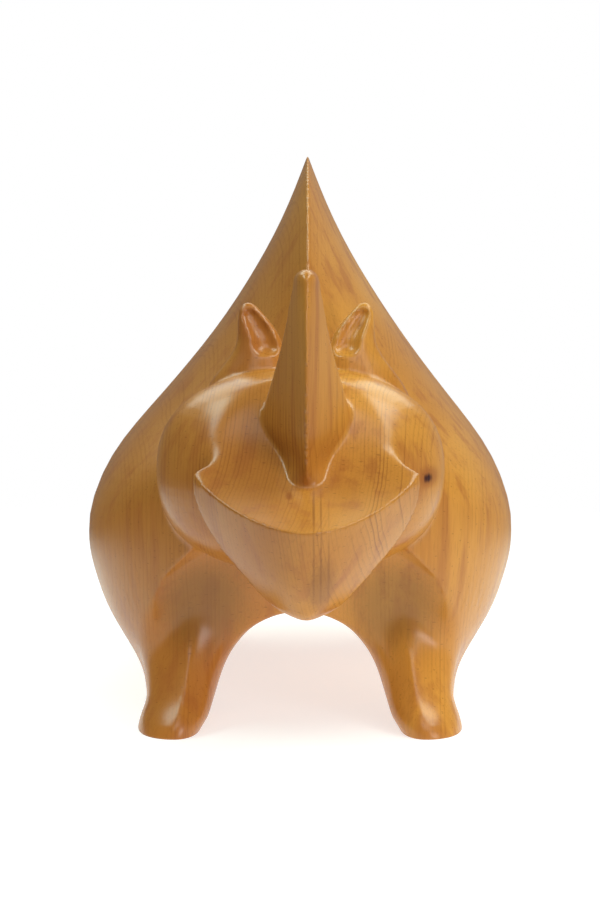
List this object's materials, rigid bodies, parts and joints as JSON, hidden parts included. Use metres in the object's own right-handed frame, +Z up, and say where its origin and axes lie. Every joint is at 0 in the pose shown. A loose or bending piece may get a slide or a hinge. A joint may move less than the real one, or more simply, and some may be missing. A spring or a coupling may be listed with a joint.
{
  "type": "rhinoceros figurine",
  "caption": "Stylised standing rhinoceros carved from solid varnished wood, with an onion-shaped body, upright horn, leaf ears and splayed flat feet; an ornament that stands by its own weight.",
  "frame": {"origin": "on the floor, under the middle of the figurine's box", "axes": "+Z up, -Y the way the animal faces, X across it"},
  "size_m": [0.1578, 0.2954, 0.2],
  "materials": {
    "wood": "satin varnish"
  },
  "bodies": {
    "root": {"rhinoceros": "wood"}
  },
  "joints": []
}
